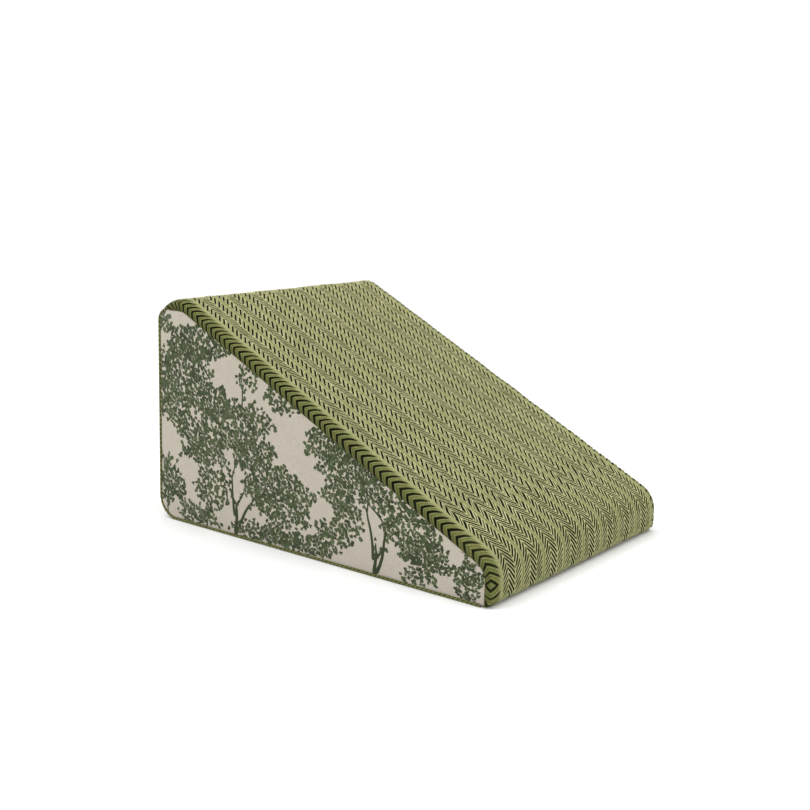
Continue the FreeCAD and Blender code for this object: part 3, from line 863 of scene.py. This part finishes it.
class Print:
    """A field of signed distance to printed foliage, with a tone for each leaf, on a fine raster."""

    def __init__(self, seed):
        self.rng = np.random.default_rng(seed)
        self.shape = tuple(int(size / PRINT_CELL) for size in PRINT_SIZE)
        self.ink = np.full(self.shape, -6.0)
        self.tone = np.full(self.shape, 0.5)

    def stamp(self, centre, reach, formula, tone, rim=0.0):
        """Raises the field to formula(x, z) in a square window and clears a rim of that width round it."""
        low = [max(int((centre[k] - reach - PRINT_LOW[k]) / PRINT_CELL), 0) for k in (0, 1)]
        high = [min(int((centre[k] + reach - PRINT_LOW[k]) / PRINT_CELL) + 1, self.shape[k]) for k in (0, 1)]
        if low[0] >= high[0] or low[1] >= high[1]:
            return
        x, z = (PRINT_LOW[k] + (np.arange(low[k], high[k]) + 0.5) * PRINT_CELL - centre[k] for k in (0, 1))
        field = formula(x[:, None], z)
        window = (slice(low[0], high[0]), slice(low[1], high[1]))
        ink, tones = self.ink[window], self.tone[window]
        around = (field <= 0) & (field > -rim)
        ink[around] = np.minimum(ink[around], -0.4)
        higher = field > ink
        ink[higher] = field[higher]
        tones[higher & (field > -0.5)] = tone

    def leaf(self, x, z):
        """A leaf of three to five rounded lobes; some clear a thin rim round themselves."""
        heading = self.rng.uniform(0, 2 * math.pi)
        size = self.rng.uniform(4.2, 6.0)
        turns = np.linspace(-1.35, 1.35, self.rng.integers(3, 6))
        lengths = size * self.rng.uniform(0.8, 1.1, len(turns)) * (1.1 - 0.18 * np.abs(turns))
        widths = lengths * self.rng.uniform(0.6, 0.8, len(turns))
        rim = LEAF_RIM if self.rng.uniform() < RIMMED_SHARE else 0.0

        def formula(dx, dz):
            union = np.full((dx + dz).shape, -6.0)
            for turn, length, width in zip(turns, lengths, widths):
                sine_, cosine = math.sin(heading + turn), math.cos(heading + turn)
                along = (dx * sine_ + dz * cosine) / (length / 2) - 1
                aside = (dx * cosine - dz * sine_) / (width / 2)
                union = np.maximum(union, (1 - np.sqrt(along**2 + aside**2)) * width / 2)
            return union

        self.stamp((x, z), size * 1.25 + 1.5, formula, self.rng.uniform(0, 1), rim)

    def stroke(self, start, end, start_width, end_width, tone):
        """A tapered piece of branch."""
        middle = ((start[0] + end[0]) / 2, (start[1] + end[1]) / 2)
        run = (end[0] - start[0], end[1] - start[1])
        length = math.hypot(*run)

        def formula(dx, dz):
            along = ((dx + run[0] / 2) * run[0] + (dz + run[1] / 2) * run[1]) / length**2
            along = np.clip(along, 0, 1)
            away = np.hypot(dx + run[0] / 2 - along * run[0], dz + run[1] / 2 - along * run[1])
            return (start_width + (end_width - start_width) * along) / 2 - away

        self.stamp(middle, length / 2 + start_width + 2, formula, tone)

    def bough(self, x, z, heading, length, width, splits):
        """A wandering branch that ends in smaller ones, with leaves along the thin ones."""
        pieces = 6
        for piece in range(pieces):
            heading += self.rng.uniform(-0.14, 0.14)
            end = (x + math.sin(heading) * length / pieces, z + math.cos(heading) * length / pieces)
            taper = width * (1 - 0.45 * (piece + 1) / pieces)
            self.stroke((x, z), end, width * (1 - 0.45 * piece / pieces), taper, 0.1)
            x, z = end
            if width < 5 and self.rng.uniform() < 0.8:
                self.leaf(x + self.rng.normal(0, 3), z + self.rng.normal(0, 3))
        if splits:
            for side in (-1, 1):
                lean = heading + side * self.rng.uniform(0.3, 0.75)
                self.bough(x, z, lean, length * self.rng.uniform(0.5, 0.72), width * 0.55, splits - 1)

    def mass(self, x, z, half_width, half_height, density):
        """Leaves set closely over an ellipse, thinning out towards a broken edge."""
        gap = LEAF_GAP / math.sqrt(density)
        for dx in np.arange(-1.15 * half_width, 1.15 * half_width, gap):
            for dz in np.arange(-1.15 * half_height, 1.15 * half_height, gap):
                reach = math.hypot(dx / half_width, dz / half_height)
                bearing = math.atan2(dz, dx)
                edge = 1 + 0.1 * math.sin(5 * bearing + x) + 0.08 * math.sin(9 * bearing + z)
                hole = math.sin(0.31 * (x + dx) + 1.7 * math.sin(0.13 * (z + dz)))
                hole *= math.sin(0.27 * (z + dz) + 1.3 * math.sin(0.17 * (x + dx)))
                keep = min((edge - reach) / 0.22, 0.94) * (0.3 if hole > 0.6 else 1)
                if self.rng.uniform() < keep:
                    jitter = self.rng.uniform(-0.38, 0.38, 2) * gap
                    self.leaf(x + dx + jitter[0], z + dz + jitter[1])

    def sample(self, field, x, z):
        """The field at points, between its cells."""
        column = np.clip((x - PRINT_LOW[0]) / PRINT_CELL - 0.5, 0, self.shape[0] - 1.001)
        row = np.clip((z - PRINT_LOW[1]) / PRINT_CELL - 0.5, 0, self.shape[1] - 1.001)
        i, j = column.astype(int), row.astype(int)
        p, q = column - i, row - j
        low = field[i, j] * (1 - p) + field[i + 1, j] * p
        high = field[i, j + 1] * (1 - p) + field[i + 1, j + 1] * p
        return low * (1 - q) + high * q


def foliage(seed):
    """The whole print: boughs first, then leaves over them."""
    work = Print(seed)
    for x, z, heading, length, width, splits in BOUGHS:
        work.bough(x, z, math.radians(heading), length, width, splits)
    for mass in MASSES:
        work.mass(*mass)
    return work


def side_columns():
    """Places along x for the side panels' columns, closer together where the seam is steep."""
    point, normal = seam.at(np.arange(0, seam.length, 1.4))
    steep = point[np.abs(normal[:, 0]) > 0.5, 0]
    steep = np.concatenate([steep, [BACK_X + SEAM_EDGE_INSET, NOSE_X - SEAM_NOSE_INSET]])
    low, high = steep.min(), steep.max()
    even = np.arange(low + 30, high - 30, SIDE_FINE)
    ends = [np.arange(low, low + 30, 1.0), np.arange(high - 30, high, 1.0)]
    places = np.sort(np.concatenate([steep, even, *ends]))
    kept = [places[0]]
    for place in places[1:]:
        if place - kept[-1] > 0.3:
            kept.append(place)
    kept[-1] = high
    return np.array(kept)


def side_limits(x):
    """The seam's lowest and highest point at each x."""
    point, normal = seam.at(np.linspace(0, seam.length, 6000)[:-1])
    upper = point[normal[:, 1] > 1e-6]
    lower = point[normal[:, 1] < -1e-6]
    upper = upper[np.argsort(upper[:, 0])]
    lower = lower[np.argsort(lower[:, 0])]
    return np.interp(x, lower[:, 0], lower[:, 1]), np.interp(x, upper[:, 0], upper[:, 1])


def side_cover(side, name, material, seed):
    """A printed linen side, gently crowned and drawn in at its seam."""
    x = side_columns()[:, None]
    low, high = (limit[:, None] for limit in side_limits(x[:, 0]))
    z = low + (high - low) * np.linspace(0, 1, 232)
    edges = [x - BACK_X - SEAM_EDGE_INSET, z - BASE_Z - SEAM_EDGE_INSET, NOSE_X - SEAM_NOSE_INSET - x]
    edges += [(slope_z(x, SEAM_SLOPE_INSET) - z) * math.cos(SLOPE_ANGLE), SEAM_TOP_Z - z, z - low, high - z]
    gap = np.maximum(np.minimum.reduce(np.broadcast_arrays(*edges)), 0)
    crown = 1.9 * (1 - np.exp(-gap / 16))
    lift = crown + 0.35 * gentle(x, z, 120, 11 + seed) * ramp(gap, 0, 30) + tuck(gap)
    lift += 0.18 * gentle(x, z, 26, 21 + seed) * ramp(gap, 0, 20)
    work = foliage(seed)
    heights = high - low
    put_sheet(
        f"{name}_side_cover", triple(x, side * (HALF_WIDTH + lift), z), material,
        "printed_linen", f"{name}_side_panel", (np.ptp(x), high.max() - low.min()), "foam_wedge",
        flip=side < 0, area=((heights[1:] + heights[:-1]) / 2 * np.diff(x, axis=0)).sum(),
        fabric=triple(x, z, 0.0), print=work.sample(work.ink, x, z), tone=work.sample(work.tone, x, z),
    )


# ---- cover: back and base


def back_point(y, q, lift):
    """A point of the back cover: y across, q down the cloth from the back seam, lift outwards."""
    return off_profile(BACK_SEAM_S - q, y, lift - tight_drop(y))


def fold(distance, reach=1.7, depth=1.35):
    """A folded edge: the cloth turns down to the zip tape within reach of it."""
    inner = np.clip(1 - distance / reach, 0, 1)
    return -depth * (1 - np.sqrt(1 - inner**2 * 0.999))


def back_relief(y, q):
    """The herringbone relief of the back cover, counted downwards from the back seam."""
    gap, rail, centre_line, _ = slope_weave(-q, y, 0.1)
    return 0.3 + 0.2 * rail - 1.3 * gap - 0.3 * centre_line


def zip_curve(offset, top_z, step):
    """Points (y, z) along the zip's U, offset outwards, from its top on -Y round to its top on +Y."""
    half = ZIP_HALF_WIDTH + offset
    radius = ZIP_CORNER_RADIUS + offset
    corner_z = ZIP_BOTTOM_Z - offset + radius
    run = top_z - corner_z
    arc = radius * math.pi / 2
    across = 2 * (half - radius)
    total = 2 * run + 2 * arc + across
    t = np.linspace(0, total, int(total / step) + 1)
    turn_1 = np.clip((t - run) / radius, 0, math.pi / 2)
    turn_2 = np.clip((t - run - arc - across) / radius, 0, math.pi / 2)
    y = -half + radius * (1 - np.cos(turn_1)) + np.clip(t - run - arc, 0, across)
    y = y + radius * np.sin(turn_2)
    z = top_z - np.clip(t, 0, run) - radius * np.sin(turn_1)
    z = z + radius * (1 - np.cos(turn_2)) + np.clip(t - run - 2 * arc - across, 0, run)
    return t, y, z


def back_door(material):
    """The panel inside the zip, with its folded edge and the back seam along its top."""
    half = ZIP_HALF_WIDTH - ZIP_OPENING_HALF
    radius = ZIP_CORNER_RADIUS - ZIP_OPENING_HALF
    bottom = ZIP_BOTTOM_Z + ZIP_OPENING_HALF
    low_rows = bottom + radius * (1 - np.cos(np.linspace(0, math.pi / 2, 28)[:-1]))
    z = np.concatenate([low_rows, np.arange(bottom + radius, BACK_SEAM_Z, FINE), [BACK_SEAM_Z]])[:, None]
    below = np.clip(bottom + radius - z, 0, radius)
    reach = half - radius + np.sqrt(np.maximum(radius**2 - below**2, 0))
    y = np.linspace(-1, 1, int(2 * half / FINE) + 1) * reach
    straight = np.minimum(half - np.abs(y), z - bottom)
    corner_y = np.maximum(np.abs(y) - (half - radius), 0)
    rounded = (corner_y > 0) & (below > 0)
    to_edge = np.maximum(np.where(rounded, radius - np.hypot(corner_y, below), straight), 0)
    q = BACK_SEAM_Z - z
    lift = back_relief(y, q) * ramp(to_edge, 0, 4) * ramp(q, 0, 3)
    lift += 0.9 * gentle(y, z, 150, 41) * ramp(to_edge, 0, 60) + fold(to_edge) + tuck(q)
    put_sheet(
        "back_door", back_point(y, q, lift), material, "herringbone_fabric", "back_panel",
        (2 * half, BACK_SEAM_Z - bottom), "zip_tape_inner", fabric=triple(-q, y, 0.0),
    )


def back_border(material):
    """The cloth round the zip: up both sides, and under the bottom edge to the base seam."""
    _, y_in, z_in = zip_curve(ZIP_OPENING_HALF, BACK_SEAM_Z, 1.6)
    q_in = BACK_SEAM_Z - z_in
    closed = q_in < 6
    y_in = np.where(closed, np.sign(y_in) * (ZIP_HALF_WIDTH - ZIP_OPENING_HALF), y_in)
    turn_end_s = profile.start(7)
    turn_end_x = profile.at(np.array([turn_end_s]))[0][0, 0]
    q_end = BACK_SEAM_S + (profile.length - turn_end_s) + (BASE_BACK_SEAM_X - turn_end_x)
    corner_y = ZIP_HALF_WIDTH - ZIP_CORNER_RADIUS
    corner_z = ZIP_BOTTOM_Z + ZIP_CORNER_RADIUS
    corner_q = BACK_SEAM_Z - corner_z
    # Seen from the zip's corner centre, cloth runs out to the bottom edge or to the side edge
    out_y = np.abs(y_in)
    angle = np.arctan2(out_y - corner_y, np.maximum(corner_z - z_in, 0) + 1e-9)
    along_bottom = corner_y + (WELT_TUCK_Y - corner_y) * np.tan(angle)
    along_side = corner_q + (q_end - corner_q) / np.tan(np.maximum(angle, 1e-3))
    cases = [out_y <= corner_y, z_in > corner_z, angle < math.pi / 4]
    y_out = np.select(cases, [out_y, WELT_TUCK_Y, along_bottom], WELT_TUCK_Y) * np.sign(y_in)
    q_out = np.select(cases, [q_end, q_in, q_end], along_side)
    y_in, q_in = y_in[:, None], q_in[:, None]
    share = np.linspace(0, 1, 44) ** 0.9
    y = y_in + (y_out[:, None] - y_in) * share
    q = q_in + (q_out[:, None] - q_in) * share
    to_fold = np.hypot(y - y_in, q - q_in)
    to_welt = WELT_TUCK_Y - np.abs(y)
    to_base = q_end - q
    inner_fold = np.where(closed[:, None], 0, fold(to_fold))
    calm = ramp(np.minimum.reduce([to_fold, to_welt, to_base, q]), 0, 4)
    lift = back_relief(y, q) * calm + inner_fold + tuck(to_welt) + tuck(to_base) + tuck(q)
    cells = (y[1:, 1:] - y[:-1, :-1]) * (q[:-1, 1:] - q[1:, :-1])
    cells -= (q[1:, 1:] - q[:-1, :-1]) * (y[:-1, 1:] - y[1:, :-1])
    put_sheet(
        "back_border_cover", back_point(y, q, lift), material, "herringbone_fabric", "back_border",
        (2 * WELT_TUCK_Y, q_end), "zip_tape_outer",
        flip=False, area=np.abs(cells).sum() / 2, fabric=triple(-q, y, 0.0),
    )


def base_cover(material):
    """The plain fabric under the ramp, between the back and nose seams."""
    x = np.arange(BASE_BACK_SEAM_X, BASE_NOSE_SEAM_X + 1.5, 3.0)[:, None]
    x[-1] = BASE_NOSE_SEAM_X
    edge = WELT_TUCK_Y - np.array([0, 0.6, 1.2, 1.8, 2.4, 3.2, 4.2, 6.0])
    y = np.concatenate([-edge, np.linspace(9 - WELT_TUCK_Y, WELT_TUCK_Y - 9, 171), edge[::-1]])
    gap = np.minimum(np.minimum(x - BASE_BACK_SEAM_X, BASE_NOSE_SEAM_X - x), WELT_TUCK_Y - np.abs(y))
    put_sheet(
        "base_cover", triple(x, y, BASE_Z + tight_drop(y) - tuck(gap)), material,
        "base_fabric", "base_panel", (2 * WELT_TUCK_Y, BASE_NOSE_SEAM_X - BASE_BACK_SEAM_X), "foam_wedge",
    )


# ---- piping


def welt_path(side, step=0.9):
    """The piping's centre line: over the back top corner, down the back edge, along the base to the nose."""
    back = BACK_X + WELT_FACE_INSET
    bottom = BASE_Z + WELT_FACE_INSET
    top_radius = SEAM_TOP_RADIUS + SEAM_EDGE_INSET - WELT_FACE_INSET
    top_z = SEAM_TOP_Z - SEAM_TOP_RADIUS
    climb = top_radius * WELT_TOP_TURN
    radius = BACK_BOTTOM_RADIUS - WELT_FACE_INSET
    down = top_z - bottom - radius
    arc = radius * math.pi / 2
    along = BASE_NOSE_SEAM_X - back - radius
    t = np.linspace(-climb, down + arc + along, int((climb + down + arc + along) / step))
    first_turn = np.clip(-t / top_radius, 0, WELT_TOP_TURN)
    turn = np.clip((t - down) / radius, 0, math.pi / 2)
    x = back + top_radius * (1 - np.cos(first_turn)) + radius * (1 - np.cos(turn))
    x += np.clip(t - down - arc, 0, along)
    z = top_z + top_radius * np.sin(first_turn) - np.clip(t, 0, down) - radius * np.sin(turn)
    return t, triple(x, side * (HALF_WIDTH - WELT_SIDE_INSET), z)


def welt(side, name, material, filler):
    """Ribbed piping with rounded ends, round its filler cord."""
    t, path = welt_path(side)
    sides = 28
    around = np.arange(sides) * (2 * math.pi * WELT_RADIUS / sides)
    lift = 0.1 - 0.45 * (1 - ramp(piping_gap(t[:, None], around), 0.06, 0.2))
    ends = np.clip(np.minimum(t - t[0], t[-1] - t) / WELT_RADIUS, 0, 1)
    cap = np.sqrt(np.clip(1 - (1 - ends) ** 2, 0.002, 1))[:, None]
    points, quads = tube(path, WELT_RADIUS * cap, sides, lift * cap)
    fabric = triple(t[:, None], around, 0.0)
    put_mesh(f"{name}_piping", points, quads, material, "piping_fabric", f"{name}_welt_cover", fabric=fabric)
    points, quads = tube(path[:: len(path) // 300], WELT_CORD_RADIUS, 12)
    put_mesh(f"{name}_piping_filler", points, quads, filler, "piping_filler", f"{name}_welt_cord")


# ---- zip


def zip_coil(direction, name, material):
    """One side's nylon coil, a fine strand wound as a flat spiral along the zip's U."""
    t, y, z = zip_curve(0.0, ZIP_COIL_TOP_Z, 0.5)
    turns = int(t[-1] / COIL_PITCH)
    angle = np.linspace(0, turns * 2 * math.pi, turns * 10)
    place = np.linspace(t[0], t[-1], len(angle))
    y, z = np.interp(place, t, y), np.interp(place, t, z)
    run_y, run_z = np.gradient(y), np.gradient(z)
    middle = ZIP_SLIT_HALF + COIL_WIDTH / 2
    offset = direction * (middle - (COIL_WIDTH / 2 - COIL_STRAND) * np.cos(angle)) / np.hypot(run_y, run_z)
    depth = COVER - COIL_HEIGHT / 2 - (COIL_HEIGHT / 2 - COIL_STRAND) * np.sin(angle)
    points, quads = tube(triple(BACK_X + depth, y + run_z * offset, z - run_y * offset), COIL_STRAND, 6)
    put_mesh(f"zip_coil_{name}_winding", points, quads, material, "zip_coil", f"zip_coil_{name}")


def zip_stitching(offset, name, material):
    """Top-stitching that holds the cover to the zip tape: a row of fat little capsules."""
    _, y, z = zip_curve(offset, BACK_SEAM_Z - 5, STITCH_PITCH)
    run = triple(0.0, np.gradient(y), np.gradient(z))
    run /= np.linalg.norm(run, axis=1)[:, None]
    outward = np.array([-1.0, 0, 0])
    places = triple(BACK_X - np.maximum(back_relief(y, BACK_SEAM_Z - z), 0.1) - 0.05, y, z)
    rings = np.array([(-0.5, 0.15), (-0.42, 0.75), (-0.2, 1.0), (0.2, 1.0), (0.42, 0.75), (0.5, 0.15)])
    angle = np.arange(8) * math.pi / 4
    along = rings[:, :1, None] * STITCH_LENGTH
    aside = (rings[:, 1:] * np.cos(angle) * STITCH_RADIUS)[..., None]
    above = (rings[:, 1:] * np.sin(angle) * STITCH_RADIUS * 0.8)[..., None]
    run, across = run[:, None, None], np.cross(run, outward)[:, None, None]
    points = places[:, None, None] + run * along + across * aside + outward * above
    first = np.arange(len(places)) * len(rings) * 8
    quads = (grid_quads(len(rings), 8, closed=True) + first[:, None, None]).reshape(-1, 4)
    put_mesh(f"zip_stitching_{name}", points, quads, material, "zip_tape")


# ---- inside


def foam_ring(depth, above):
    """Points (x, z) of a foam block's outline at that depth in its rounded edge, cut below the slope."""
    outline = wedge_outline(FOAM_INSET + depth, FOAM_SLACK)
    point, _ = outline.at(np.linspace(0, outline.length, 6000)[:-1])
    kept = (point[:, 1] > slope_z(point[:, 0], FOAM_SPLIT)) == above
    first = int(np.argmax(kept & ~np.roll(kept, 1)))
    run = np.roll(point, -first, axis=0)[: kept.sum()]
    places = np.linspace(0, len(run) - 1, FOAM_RING).astype(int)
    share = np.linspace(0, 1, FOAM_RING // 2)[1:-1, None]
    return np.concatenate([run[places], run[-1] + (run[0] - run[-1]) * share])


def foam_block(name, above, material, slot, node):
    """A closed block of foam: its outline swept across, with rounded side edges."""
    reach = HALF_WIDTH - FOAM_INSET
    turn = np.linspace(0, math.pi / 2, 7)
    side = [(reach - FOAM_EDGE * (1 - math.sin(t)), FOAM_EDGE * (1 - math.cos(t)), 1) for t in turn]
    side += [(reach, FOAM_EDGE, share) for share in np.linspace(0.96, 0.04, 9)]
    middle = [(y, 0, 1) for y in np.linspace(FOAM_EDGE - reach, reach - FOAM_EDGE, 40)[1:-1]]
    points = []
    for y, depth, share in [(-y, *rest) for y, *rest in side[::-1]] + middle + side:
        ring = foam_ring(depth, above)
        centre = ring.mean(axis=0)
        ring = centre + (ring - centre) * share
        points.append(triple(ring[:, 0], y, ring[:, 1]))
    size = len(points[0])
    quads = grid_quads(len(points), size, closed=True)
    piece = put_mesh(name, np.array(points), quads, material, slot, node)
    work = bmesh.new()
    work.from_mesh(piece.data)
    corners = list(work.verts)
    work.faces.new(corners[:size][::-1])
    work.faces.new(corners[-size:])
    bmesh.ops.recalc_face_normals(work, faces=work.faces)
    work.to_mesh(piece.data)
    work.free()


def main():
    weave = herringbone()
    linen = printed_linen()
    slope_cover(weave)
    side_cover(LEFT, "left", linen, 5)
    side_cover(RIGHT, "right", linen, 8)
    back_door(weave)
    back_border(weave)
    base_cover(woven("base_canvas", srgb(96, 98, 84), srgb(64, 66, 56), 1.4))
    piping = piping_cloth()
    filler = woven("piping_filler", srgb(226, 222, 210), srgb(190, 186, 172), 1.2)
    welt(LEFT, "left", piping, filler)
    welt(RIGHT, "right", piping, filler)
    thread = nylon("sewing_thread", srgb(150, 154, 96), srgb(100, 106, 58))
    coil = nylon("zip_coil_nylon", srgb(92, 98, 60), srgb(58, 64, 36))
    zip_coil(1, "outer", coil)
    zip_coil(-1, "inner", coil)
    zip_stitching(STITCH_OFFSET, "outer", thread)
    zip_stitching(-STITCH_OFFSET, "inner", thread)
    tape = woven("zip_tape_weave", srgb(98, 104, 62), srgb(62, 68, 38), 0.9)
    kept_nodes = (
        (tape, "zip_tape_outer", "zip_tape_inner"),
        (metal(), "zip_top_stops", "zip_bottom_stop", "zip_slider", "zip_pull"),
        (rubber(), "grip_backing"),
    )
    for material, *nodes in kept_nodes:
        for node in nodes:
            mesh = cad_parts[node].data
            mesh.materials.clear()
            mesh.materials.append(material)
    inside()
    studio()


def liner(material):
    """The thin inner sleeve under the cover, open at the back where the zip lets it out."""
    s = np.linspace(BACK_SEAM_S, profile.length, 260)
    at = strip(s, 6.0, LINER_INSET)
    s, v = s[:, None], at["v"]
    points = off_profile(s, at["y"], 0.1 * gentle(s, v, 40, 6) - at["depth"] - LINER_INSET)
    flat = (2 * v.max(), profile.length - BACK_SEAM_S)
    put_sheet("liner_sleeve", points, material, "liner_fabric", "inner_liner", flat, "foam_top_layer")


def inside():
    """The liner, the firm foam wedge and the softer top layer, hidden by the cover."""
    liner(woven("liner_cotton", srgb(206, 203, 192), srgb(184, 180, 168), 1.1))
    firm = foam("firm_foam", srgb(222, 218, 200), srgb(188, 182, 160), 1.6)
    soft = foam("soft_foam", srgb(236, 226, 196), srgb(206, 192, 156), 1.1)
    foam_block("foam_wedge", False, firm, "firm_foam", "foam_base_wedge")
    foam_block("foam_top_layer", True, soft, "soft_foam", "foam_comfort_layer")


def area_light(name, place, target, size):
    """A soft square light that looks at a point, all in metres."""
    data = bpy.data.lights.new(name, "AREA")
    data.size = size
    data.energy = LIGHT_POWER
    light = put_object(name, data)
    light.location = place
    light.rotation_euler = (Vector(target) - Vector(place)).to_track_quat("-Z", "Y").to_euler()


def studio_floor():
    """A pale round floor that curves up into a backdrop on every side, in metres."""
    finish = Finish("studio_floor", 0.95, specular=0.1)
    x, y, _ = finish.position()
    cloud = finish.noise(x * 0.002, y * 0.002, detail=1)
    colour = finish.mix(cloud, srgb(250, 250, 250), srgb(253, 253, 253))
    bend = np.linspace(0.08, math.pi / 2, 14)
    run = np.concatenate([np.linspace(0.001, 3.5, 24), 3.5 + 1.5 * np.sin(bend), [5.0]])[:, None]
    rise = np.concatenate([np.zeros(24), 1.5 * (1 - np.cos(bend)), [5.0]])[:, None]
    turn = np.arange(96) * 2 * math.pi / 96
    points = triple(run * np.cos(turn), run * np.sin(turn), rise).reshape(-1, 3)
    quads = grid_quads(len(run), len(turn), closed=True)
    mesh = bpy.data.meshes.new("studio_floor")
    mesh.from_pydata(points.tolist(), [], quads.tolist() + [list(range(len(turn)))])
    mesh.shade_smooth()
    mesh.materials.append(finish.finish(colour))
    put_object("studio_floor", mesh)


def studio():
    """Floor, lights and the camera at the viewing angle."""
    studio_floor()
    world = bpy.data.worlds.new("studio_world")
    world.use_nodes = True
    background = world.node_tree.nodes["Background"]
    background.inputs["Color"].default_value = (1, 1, 1, 1)
    background.inputs["Strength"].default_value = 1.0
    bpy.context.scene.world = world
    bpy.context.scene.view_settings.view_transform = "Standard"
    area_light("key", (-1.2, -1.4, 2.9), (0, 0, 0.15), 1.6)
    area_light("top", (0.5, 0.4, 3.2), (0, 0, 0), 2.4)
    place_camera()


def place_camera():
    """A 55 mm lens from the left front, turned slightly about its own axis."""
    data = bpy.data.cameras.new("camera")
    data.sensor_width = 36.0
    data.lens = CAMERA_LENS
    camera = put_object("camera", data)
    azimuth, elevation, roll = (math.radians(angle) for angle in CAMERA_ANGLES)
    level = Matrix.Rotation(azimuth, 4, "Z") @ Matrix.Rotation(math.pi / 2 - elevation, 4, "X")
    camera.matrix_world = Matrix.Translation(CAMERA_PLACE) @ level @ Matrix.Rotation(roll, 4, "Z")
    bpy.context.scene.camera = camera


main()
